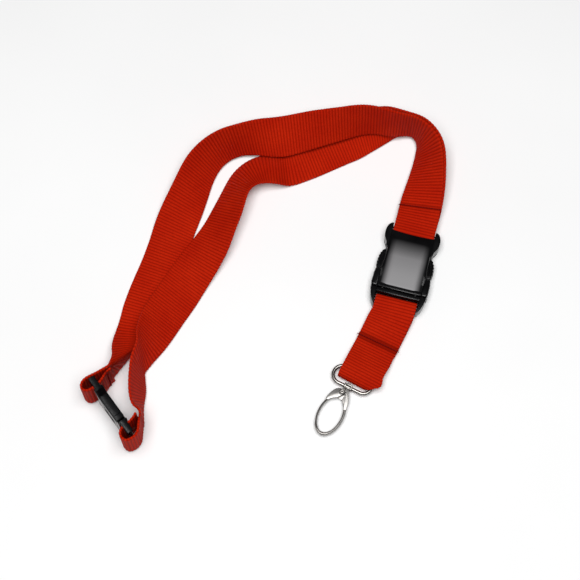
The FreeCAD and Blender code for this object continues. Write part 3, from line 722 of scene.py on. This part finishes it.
for name, strip, node, body, pinches, rests in (
        ("neck_band_left", left, "neck_webbing_left", "neck",
         [(seam_row, SEAM_DEPTH), (left_row, SEAM_DEPTH)], ["buckle_socket", "breakaway_socket"]),
        ("neck_band_right", right, "neck_webbing_right", "neck",
         [(under_row, SEAM_DEPTH)], ["buckle_socket", "breakaway_socket"]),
        ("neck_band_clip_end", clip_end, "neck_webbing_clip_end", "clip_plug",
         [(right_row, SEAM_DEPTH)], ["breakaway_plug"]),
        ("short_loop_band", short, "short_webbing_loop", "short_loop",
         [(short_row - 3, 0.18), (short_row, 0.14), (short_row + 3, 0.18)], ["buckle_plug"])):
    band = webbing(name, strip, WEBBING, pinches, seed=len(name))
    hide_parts(node)
    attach(band, body)

for name, strip, row, flip, node, body in (
        ("seam_at_buckle", left, seam_row, False, "buckle_seam_stitches", "neck"),
        ("seam_left_loop", left, left_row, True, "left_loop_stitches", "neck"),
        ("seam_right_loop", clip_end, right_row, True, "right_loop_stitches", "clip_plug"),
        ("seam_short_loop", short, short_row, True, "short_loop_stitches", "short_loop")):
    stitches = stitch_row(name, strip, row, THREAD, flip, seed=len(name) + row)
    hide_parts(node)
    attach(stitches, body)

# ---------------------------------------------------------------- moulded and cast pieces
# These helpers work in mm in the local frame of the buckle, the hook or the clip.

def rounded(points, steps=5):
    """A closed smooth curve through the points of an outline."""
    p = [np.array(q, float) for q in points]
    n, curve = len(p), []
    for i in range(n):
        a, b, c, d = p[i - 1], p[i], p[(i + 1) % n], p[(i + 2) % n]
        for k in range(steps):
            t = k / steps
            curve.append(tuple(0.5 * (2 * b + (c - a) * t + (2 * a - 5 * b + 4 * c - d) * t * t
                                      + (3 * b - a - 3 * c + d) * t ** 3)))
    return curve


def mirrored(points):
    """A whole outline from its half on the y > 0 side."""
    return [(x, -y) for x, y in points] + [(x, y) for x, y in reversed(points)]


def slab(outline, low, high, bevel=0.4, segments=3, on_edge=False):
    """A plate with rounded rims; on_edge stands it up, so its outline is in x and z."""
    bm = bmesh.new()
    under = [bm.verts.new((x, y, low)) for x, y in outline]
    over = [bm.verts.new((x, y, high)) for x, y in outline]
    bm.faces.new(under[::-1])
    bm.faces.new(over)
    for i in range(len(outline)):
        j = (i + 1) % len(outline)
        bm.faces.new((under[i], under[j], over[j], over[i]))
    bmesh.ops.recalc_face_normals(bm, faces=bm.faces[:])
    rims = [e for e in bm.edges if abs(e.verts[0].co.z - e.verts[1].co.z) < 1e-6]
    bmesh.ops.bevel(bm, geom=rims, offset=bevel, segments=segments, profile=0.5,
                    affect="EDGES", clamp_overlap=True)
    bm.verts.index_update()
    verts = [tuple(v.co) for v in bm.verts]
    faces = [tuple(v.index for v in f.verts) for f in bm.faces]
    bm.free()
    if on_edge:
        verts = [(x, z, y) for x, y, z in verts]
        faces = [f[::-1] for f in faces]
    return verts, faces


def block(x0, x1, y0, y1, low, high, bevel):
    """A rectangular plate between two heights."""
    return slab([(x0, y0), (x1, y0), (x1, y1), (x0, y1)], low, high, bevel)


def grid_shell(columns, rows, point, under):
    """A closed shell: a grid of points on top, the same grid dropped to z = under below."""
    verts, faces = [], []
    for layer in range(2):
        for i in range(columns + 1):
            for j in range(rows + 1):
                x, y, z = point(i / columns, j / rows)
                verts.append((x, y, z if layer == 0 else under))
    wide, size = rows + 1, (columns + 1) * (rows + 1)

    def at(i, j, layer):
        return layer * size + i * wide + j

    for i in range(columns):
        for j in range(rows):
            faces.append((at(i, j, 0), at(i + 1, j, 0), at(i + 1, j + 1, 0), at(i, j + 1, 0)))
            faces.append((at(i, j, 1), at(i, j + 1, 1), at(i + 1, j + 1, 1), at(i + 1, j, 1)))
    for i in range(columns):
        faces.append((at(i, 0, 0), at(i, 0, 1), at(i + 1, 0, 1), at(i + 1, 0, 0)))
        faces.append((at(i, rows, 0), at(i + 1, rows, 0), at(i + 1, rows, 1), at(i, rows, 1)))
    for j in range(rows):
        faces.append((at(0, j, 0), at(0, j + 1, 0), at(0, j + 1, 1), at(0, j, 1)))
        faces.append((at(columns, j, 0), at(columns, j, 1), at(columns, j + 1, 1),
                      at(columns, j + 1, 0)))
    return verts, faces


def lathe(profile, sides=40):
    """A closed turned shape about the frame's own Z axis; profile is (radius, z), upwards."""
    verts, faces = [], []
    for r, z in profile:
        for k in range(sides):
            a = 2 * math.pi * k / sides
            verts.append((r * math.cos(a), r * math.sin(a), z))
    for i in range(len(profile) - 1):
        for k in range(sides):
            m = (k + 1) % sides
            faces.append((i * sides + k, i * sides + m, (i + 1) * sides + m, (i + 1) * sides + k))
    faces.append(tuple(range(sides))[::-1])
    last = (len(profile) - 1) * sides
    faces.append(tuple(range(last, last + sides)))
    return verts, faces


FLAT_AREA = 2.2e-6  # square metres; faces broader than this are shaded flat
SHARP_ANGLE = 42  # degrees; a steeper edge between two faces is shaded as a corner


def add_hard(name, parts, place, lift, material, node, body):
    """Joins parts into one piece: broad flat faces stay flat, rims and small faces are smooth."""
    verts, faces = merge(parts)
    matrix = place_matrix(place, lift)
    obj = add_object(name, [matrix @ Vector(v) for v in verts], faces, material)
    mesh = obj.data
    bm = bmesh.new()
    bm.from_mesh(mesh)
    bmesh.ops.recalc_face_normals(bm, faces=bm.faces[:])
    bm.to_mesh(mesh)
    bm.free()
    for polygon in mesh.polygons:
        polygon.use_smooth = polygon.area < FLAT_AREA
    mesh.set_sharp_from_angle(angle=math.radians(SHARP_ANGLE))
    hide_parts(node)
    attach(obj, body)
    return obj


# Half outlines of the socket: (distance a from the buckle's origin, half width).
SOCKET_SIDE = [(0.8, 12.3), (1.4, 14.3), (3.4, 15.9), (7.0, 16.6), (11.0, 16.2), (14.4, 14.4),
               (17.0, 14.6), (30.0, 15.4), (31.5, 16.9), (40.5, 17.3), (42.6, 16.9)]
SHOULDER = [(1.1, 13.1), (1.8, 14.8), (3.8, 16.1), (7.2, 16.7), (10.8, 16.2), (13.8, 14.6),
            (16.4, 14.1), (16.5, 12.9), (12.0, 12.7), (7.0, 12.8), (3.0, 12.9)]
DOME_WIDTH = [(5.2, 15.1), (8.5, 15.5), (12.0, 14.9), (14.6, 13.8), (17.0, 13.2), (24.0, 13.3),
              (30.0, 13.9), (32.0, 15.9), (40.8, 16.3)]
# The panel's crown: (a, height).
DOME_HEIGHT = [(5.2, 8.7), (6.4, 9.45), (9.0, 10.2), (13.0, 10.8), (18.0, 11.1), (24.0, 11.05),
               (31.0, 10.6), (38.0, 9.9), (40.2, 9.7)]
DOME_A = np.linspace(DOME_HEIGHT[0][0], DOME_HEIGHT[-1][0], 200)
DOME_Z = cubic([[z] for a, z in DOME_HEIGHT], [a for a, z in DOME_HEIGHT], DOME_A)[:, 0]
DOME_START, DOME_RUN = 5.2, 35.6
PANEL_FLAT, PANEL_HALF = 7.0, 13.0  # where the panel starts and ends its roll into the rails
LIP_Z, SHELL_UNDER = 8.7, 8.4  # the shell's front lip and its underside
RAIL_DROP, RIM_R = 1.15, 1.3  # the rails' depth under the panel, and the round of their rims


def dome_point(u, v):
    """Top of the socket: one crowned panel that rolls over into lower rails at the sides."""
    s = 2 * v - 1
    start = DOME_START + (1 - min(1.0, abs(s) / 0.86) ** 2)
    a = max(start, DOME_START + DOME_RUN * u)
    wide = np.interp(a, *zip(*DOME_WIDTH))
    y = s * wide
    crown = np.interp(a, DOME_A, DOME_Z) - 0.9 * max(0.0, a - DOME_A[-1])
    roll = ramp_up(abs(y), PANEL_FLAT, min(PANEL_HALF, wide - 0.8) - PANEL_FLAT)
    height = crown - RAIL_DROP * roll * roll * (3 - 2 * roll) * min(1.0, (crown - LIP_Z) / 1.4)
    turn = max(0.0, (abs(s) - 1.0) * wide / RIM_R + 1.0)
    height -= RIM_R * (1 - math.sqrt(max(0.0, 1 - turn * turn)))
    return a, y, max(height, SHELL_UNDER + 0.05)


SATIN_SHEEN_HALF, SATIN_SHEEN_EDGE = 11.9, 3.4  # half width of the satin panel, which carries a painted sheen, and how far it fades in
SATIN_SHEEN_START, SATIN_SHEEN_RUN = 11.0, 11.0


def mark_satin_and_painted_sheen(obj):
    """The socket's panel has a finer, duller texture than its rails and a painted sheen, a lighter
    grey base colour growing towards the plug end; both fade in from the front.
    """
    layer = obj.data.color_attributes.new("satin_and_painted_sheen", "FLOAT_COLOR", "POINT")
    back = place_matrix(BUCKLE).inverted()
    for vertex, item in zip(obj.data.vertices, layer.data):
        a, y, z = back @ vertex.co
        inside = z > 8.8 and 5.0 < a < 40.75 and abs(y) < 12.6
        fade = ramp_up(-abs(y), -SATIN_SHEEN_HALF, SATIN_SHEEN_EDGE) * ramp_up(a, SATIN_SHEEN_START, SATIN_SHEEN_RUN)
        # The painted sheen grows along the panel towards the plug end.
        share = fade * (0.6 + 0.4 * (a - 8.0) / 32.0) if inside else 0.0
        item.color = (share, share, share, 1.0)


def bar_tube(a, half):
    """A bar across the buckle, for the webbing to go round."""
    return tube([(a, y, BUCKLE_Z) for y in np.linspace(-half, half, 12)], 1.5, sides=20)


def socket_parts():
    """Base plate, floor, domed shell, rear bridge, bar, and on each side a shoulder and rear wall."""
    rear_wall = [(31.4, 13.0), (31.4, 16.6), (33.0, 16.9), (40.4, 17.2), (42.5, 16.8), (42.5, 13.0)]
    parts = [slab(mirrored(SOCKET_SIDE), 0.0, 1.15, 0.4),
             block(9.6, 42.4, -13.4, 13.4, 0.6, 2.0, 0.2),
             grid_shell(72, 60, dome_point, SHELL_UNDER),
             block(39.8, 42.6, -13.3, 13.3, 8.1, 9.5, 0.5),
             bar_tube(SOCKET_BAR_A, 13.6)]
    for side in (-1, 1):
        wall = [(x, side * y) for x, y in SHOULDER]
        parts.append(slab(rounded(wall, 4), 0.4, 9.7, 1.15, 4))
        parts.append(slab([(x, side * y) for x, y in rear_wall], 0.4, 9.6, 1.1, 4))
        for x in (34.2, 36.0, 37.8):  # grip ribs
            y = side * 16.4
            parts.append(block(x - 0.35, x + 0.35, y - 0.75, y + 0.75, 3.0, 8.3, 0.25))
    return parts


def plug_parts():
    """Front wall, bar, tongue and its root, and the rails on both sides of the bar."""
    rail = [(43.0, 16.6), (45.0, 16.5), (47.4, 16.0), (50.0, 15.1), (52.4, 13.9), (53.3, 13.0),
            (50.0, 12.9), (46.0, 12.9), (43.0, 12.9)]
    parts = [block(43.0, 45.6, -13.2, 13.2, 1.6, 9.0, 0.45),
             bar_tube(PLUG_BAR_A, 13.4),
             block(20.0, 43.2, -4.4, 4.4, 3.6, 6.8, 0.6),
             block(41.6, 43.3, -8.2, 8.2, 3.6, 6.8, 0.4)]
    for side in (-1, 1):
        parts.append(slab([(x, side * y) for x, y in rail], 1.0, 9.6, 1.0, 4))
    return parts


def arm_parts(side):
    """A sprung arm with its press lobe, the lobe's grip ribs and a raised rim."""
    outline = [(42.7, 8.7), (32.0, 8.5), (22.0, 9.5), (17.8, 11.0), (17.3, 13.0), (18.6, 15.3),
               (22.0, 16.5), (27.0, 16.8), (30.5, 16.5), (30.9, 11.4), (42.7, 11.1)]
    parts = [slab([(x, side * y) for x, y in outline], 3.0, 7.4, 0.6)]
    for x, y in ((20.6, 16.0), (22.6, 16.5), (24.6, 16.7), (26.6, 16.8), (28.6, 16.65)):
        parts.append(tube([(x, side * (y + 0.05), z) for z in (3.5, 4.4, 6.0, 6.9)], 0.35, sides=8))
    rim = [(19.6, 13.5), (22.0, 14.5), (25.0, 15.0), (28.6, 14.9)]
    parts.append(tube([(x, side * y, 7.35) for x, y in rim], 0.45, sides=10))
    return parts


OVAL_OUT, OVAL_IN = (14.7, 0.0, 13.4, 7.9), (14.9, -0.2, 11.1, 6.3)
# The oval's section: share of the way from the inner to the outer ellipse, and height.
WIRE_SECTION = [(0.0, -0.75), (0.0, 0.25), (0.2, 0.75), (0.42, 1.12), (0.56, 1.24), (0.72, 1.16),
                (0.88, 0.8), (0.97, 0.35), (1.0, 0.0), (0.97, -0.45), (0.86, -0.95), (0.65, -1.25),
                (0.4, -1.3), (0.15, -1.1)]


def oval_point(oval, degrees):
    """A point of an ellipse, given as its centre and half lengths."""
    x, y, half_x, half_y = oval
    return np.array([x + half_x * math.cos(math.radians(degrees)),
                     y + half_y * math.sin(math.radians(degrees)), 0.0])


def oval_wire(first, last, count):
    """Part of the hook's oval: rounded outside, bevelled towards the opening."""
    verts, faces, n = [], [], len(WIRE_SECTION)
    for k in range(count + 1):
        degrees = first + (last - first) * k / count
        inner, outer = oval_point(OVAL_IN, degrees), oval_point(OVAL_OUT, degrees)
        verts += [inner + (outer - inner) * f + np.array([0, 0, z]) for f, z in WIRE_SECTION]
    for k in range(count):
        for j in range(n):
            i = (j + 1) % n
            faces.append((k * n + j, (k + 1) * n + j, (k + 1) * n + i, k * n + i))
    faces.append(tuple(range(n)))
    faces.append(tuple(range((count + 1) * n - 1, count * n - 1, -1)))
    return verts, faces


def hook_body_parts():
    """The fixed part of the oval, the cheek beside the gate and the plate under it."""
    cheek = [(-2.8, 1.2), (-1.9, 1.6), (-0.8, 2.35), (0.6, 2.45), (1.9, 2.2), (3.5, 1.9), (4.6, 2.4),
             (5.9, 3.7), (7.6, 4.7), (9.0, 5.4), (8.4, 6.7), (6.0, 6.5), (3.4, 6.0), (1.2, 5.2),
             (-1.0, 4.1), (-2.7, 3.1)]
    web = [(-2.9, -0.8), (-2.9, 3.4), (1.8, 4.4), (3.8, 2.4), (3.8, 0.8), (3.6, -1.0), (1.4, -2.0),
           (-0.8, -2.4)]
    return [oval_wire(-72.4, 151.0, 96), slab(rounded(cheek, 4), -1.3, 1.3, 0.45),
            slab(web, -1.4, -0.6, 0.2)]


def hook_gate_parts():
    """The gate's part of the oval and the arm that turns on the rivet."""
    arm = [(1.6, 0.9), (0.8, 1.8), (-0.6, 1.95), (-1.8, 0.9), (-2.0, -0.6), (-1.5, -2.8), (0.2, -4.7),
           (3.0, -6.0), (6.0, -6.8), (7.8, -6.6), (7.6, -5.2), (6.2, -3.9), (5.1, -2.6),
           (4.3, -1.3), (3.2, -0.2)]
    return [oval_wire(-74.6, -152.0, 44), slab(rounded(arm, 4), -0.25, 1.4, 0.5)]


def pin_parts():
    """The gate's rivet, with a ring pressed into its head."""
    return [lathe([(0.05, -1.5), (0.85, -1.5), (0.88, 1.43), (1.72, 1.45), (1.8, 1.6), (1.72, 1.85),
                   (1.5, 1.95), (1.38, 1.9), (1.26, 1.52), (0.88, 1.5), (0.76, 1.88),
                   (0.62, 1.98), (0.3, 2.02), (0.05, 2.02)])]


RING = (-15.4, -4.6, -10.0, 14.2, 5.2)  # x and y limits of the ring's middle line, its corners
RING_R, HUB_Y = 1.05, 1.6


def ring_parts():
    """The wire ring and the boxed hub on it, which holds the swivel rivet."""
    x0, x1, y0, y1, corner = RING
    path = []
    for cx, cy, start in ((x1 - corner, y1 - corner, 0), (x0 + corner, y1 - corner, 90),
                          (x0 + corner, y0 + corner, 180), (x1 - corner, y0 + corner, 270)):
        for k in range(13):
            a = math.radians(start + 7.5 * k)
            path.append((cx + corner * math.cos(a), cy + corner * math.sin(a), 0))
    smooth = []
    for p, q in zip(path, path[1:] + path[:1]):
        gap = math.dist(p, q)
        pieces = max(1, round(gap / 0.9))
        smooth += [np.array(p) + (np.array(q) - np.array(p)) * k / pieces for k in range(pieces)
                   if gap > 0.05]
    hub = [block(-6.15, -5.35, -0.85, 4.05, -1.85, 1.85, 0.3),
           block(-3.95, -3.25, -0.85, 4.05, -1.85, 1.85, 0.3),
           block(-6.1, -3.3, -0.9, 0.35, -1.8, 1.8, 0.3),
           block(-6.1, -3.3, 2.85, 4.1, -1.8, 1.8, 0.3)]
    return [tube(smooth, RING_R, sides=20, closed=True)] + hub


def post_parts():
    """The swivel rivet and its head inside the hub."""
    return [tube([(x, HUB_Y, 0) for x in np.linspace(-6.4, -2.2, 8)], 0.72, sides=16),
            tube([(-6.65, HUB_Y, 0), (-6.5, HUB_Y, 0), (-6.3, HUB_Y, 0)], [0.9, 1.2, 1.2], sides=16)]


CLIP_T, CLIP_RAIL, CLIP_MID = 5.8, 1.5, 14.3
CLIP_BAR_R, RAIL_HALF = 1.6, 1.9


def standing(x0, x1, z0, z1, half, bevel):
    """A rectangular plate that stands on edge, half its thickness to each side."""
    return slab([(x0, z0), (x1, z0), (x1, z1), (x0, z1)], -half, half, bevel, on_edge=True)


def clip_bar(x):
    """A bar of the clip, upright like the clip itself."""
    return tube([(x, 0, z) for z in np.linspace(0.8, CLIP_H - 0.8, 14)], CLIP_BAR_R, sides=20)


def clip_socket_parts():
    """The half on the left band: a tall frame round the bar, then the body with its window."""
    half = CLIP_T / 2
    body = [(5.4, 0.1), (6.8, 0.1), (9.9, 4.9), (13.4, 4.9), (13.4, 23.7), (9.9, 23.7),
            (6.8, CLIP_H - 0.1), (5.4, CLIP_H - 0.1)]
    panel = rounded([(14.2, 9.2), (22.8, 9.2), (22.8, 19.4), (14.2, 19.4)], 5)
    return [slab(body, -half, half, 0.6, on_edge=True),
            standing(23.6, 26.7, 4.85, 23.75, half, 0.6),
            standing(13.0, 24.0, 4.85, 8.4, half, 0.6),
            standing(13.0, 24.0, 20.2, 23.75, half, 0.6),
            standing(-1.7, 6.8, 0.0, CLIP_RAIL, RAIL_HALF, 0.4),
            standing(-1.7, 6.8, CLIP_H - CLIP_RAIL, CLIP_H, RAIL_HALF, 0.4),
            clip_bar(0),
            slab(panel, 2.1, 2.5, 0.15, on_edge=True),
            slab(panel, -2.5, -2.1, 0.15, on_edge=True)]


def clip_plug_parts():
    """The half on the right band: frame round the bar, flange and two prongs."""
    half, end = CLIP_T / 2, CLIP_GAP
    low_rail = [(29.6, 0.0), (end + 1.7, 0.0), (end + 1.7, CLIP_RAIL), (29.4, CLIP_RAIL)]
    high_rail = [(x, CLIP_H - z) for x, z in reversed(low_rail)]
    flange = [(27.1, 4.9), (29.5, 0.1), (30.4, 0.1), (30.4, CLIP_H - 0.1), (29.5, CLIP_H - 0.1),
              (27.1, 23.7)]
    parts = [slab(flange, -half, half, 0.5, on_edge=True),
             slab(low_rail, -RAIL_HALF, RAIL_HALF, 0.4, on_edge=True),
             slab(high_rail, -RAIL_HALF, RAIL_HALF, 0.4, on_edge=True),
             clip_bar(end)]
    for low, high in ((-6.8, -2.6), (2.6, 6.8)):
        prong = [(28.0, CLIP_MID + low), (13.2, CLIP_MID + low + 0.6),
                 (11.2, CLIP_MID + (low + high) / 2), (13.2, CLIP_MID + high - 0.6),
                 (28.0, CLIP_MID + high)]
        parts.append(slab(prong, -1.65, 1.65, 0.4, on_edge=True))
    return parts


for name, parts, place, lift, material, node, body in (
        ("side_release_socket", socket_parts(), BUCKLE, 0, PLASTIC, "buckle_socket", "socket"),
        ("side_release_plug", plug_parts(), BUCKLE, 0, PLASTIC, "buckle_plug", "plug"),
        ("press_arm_left", arm_parts(-1), BUCKLE, 0, PLASTIC, "release_arm_left", "arm_left"),
        ("press_arm_right", arm_parts(1), BUCKLE, 0, PLASTIC, "release_arm_right", "arm_right"),
        ("wire_ring", ring_parts(), HOOK, HOOK_Z, NICKEL, "strap_ring", "ring"),
        ("swivel_rivet", post_parts(), HOOK, HOOK_Z, NICKEL, "swivel_post", "hook"),
        ("cast_hook", hook_body_parts(), HOOK, HOOK_Z, CAST, "hook_body", "hook"),
        ("cast_gate", hook_gate_parts(), HOOK, HOOK_Z, CAST, "hook_gate", "gate"),
        ("gate_rivet", pin_parts(), HOOK, HOOK_Z, NICKEL, "gate_pin", "hook"),
        ("clip_half_left", clip_socket_parts(), CLIP, 0, PLASTIC, "breakaway_socket", "neck"),
        ("clip_half_right", clip_plug_parts(), CLIP, 0, PLASTIC, "breakaway_plug", "clip_plug")):
    piece = add_hard(name, parts, place, lift, material, node, body)
    if node == "buckle_socket":
        mark_satin_and_painted_sheen(piece)

# The gate's spring keeps its CAD mesh.
mesh = frame["nodes"]["gate_spring"].data
mesh.materials.clear()
mesh.materials.append(STEEL)

# ---------------------------------------------------------------- floor, lights, camera

def floor_material():
    """A plain pale table."""
    m = Nodes("table_top")
    coords = m.object_coords()
    tone = m.noise(coords, 6.0, 3.0)
    m.link(m.ramp(tone, [(0.3, (0.90, 0.90, 0.90)), (0.7, (0.93, 0.93, 0.93))]),
           m.shader.inputs["Base Color"])
    m.set(Roughness=0.85, Specular_IOR_Level=0.1)
    return m.material


floor = add_object("table_top", [(-3, -3, 0), (3, -3, 0), (3, 3, 0), (-3, 3, 0)], [(0, 1, 2, 3)],
                   floor_material(), smooth=False)


def area_light(name, where, target, size, power):
    """A soft rectangular light that faces its target."""
    data = bpy.data.lights.new(name, "AREA")
    data.shape = "RECTANGLE"
    data.size, data.size_y = size
    data.energy = power
    light = bpy.data.objects.new(name, data)
    light.location = where
    light.rotation_euler = (Vector(target) - Vector(where)).to_track_quat("-Z", "Y").to_euler()
    bpy.context.scene.collection.objects.link(light)


area_light("key", (0.0, -0.26, 1.5), (0, 0, 0), (1.0, 0.9), 27)

world = bpy.data.worlds.new("studio")
bpy.context.scene.world = world
world.use_nodes = True
background = world.node_tree.nodes["Background"]
background.inputs["Color"].default_value = (1, 1, 1, 1)
background.inputs["Strength"].default_value = 0.05

bpy.context.scene.view_settings.view_transform = "Standard"

# Distance in metres, elevation in degrees and lens in mm, fitted to the photograph.
CAMERA_DISTANCE, CAMERA_ELEVATION, CAMERA_LENS = 0.950, 70.0, 99.06
camera_data = bpy.data.cameras.new("photo_view")
camera_data.lens = CAMERA_LENS
camera_data.sensor_width = 36.0
camera = bpy.data.objects.new("photo_view", camera_data)
tilt = math.radians(CAMERA_ELEVATION)
centre = Vector(SHIFT * MM)
camera.location = centre + Vector((0, -math.cos(tilt), math.sin(tilt))) * CAMERA_DISTANCE
camera.rotation_euler = (math.radians(90 - CAMERA_ELEVATION), 0, 0)
bpy.context.scene.collection.objects.link(camera)
bpy.context.scene.camera = camera
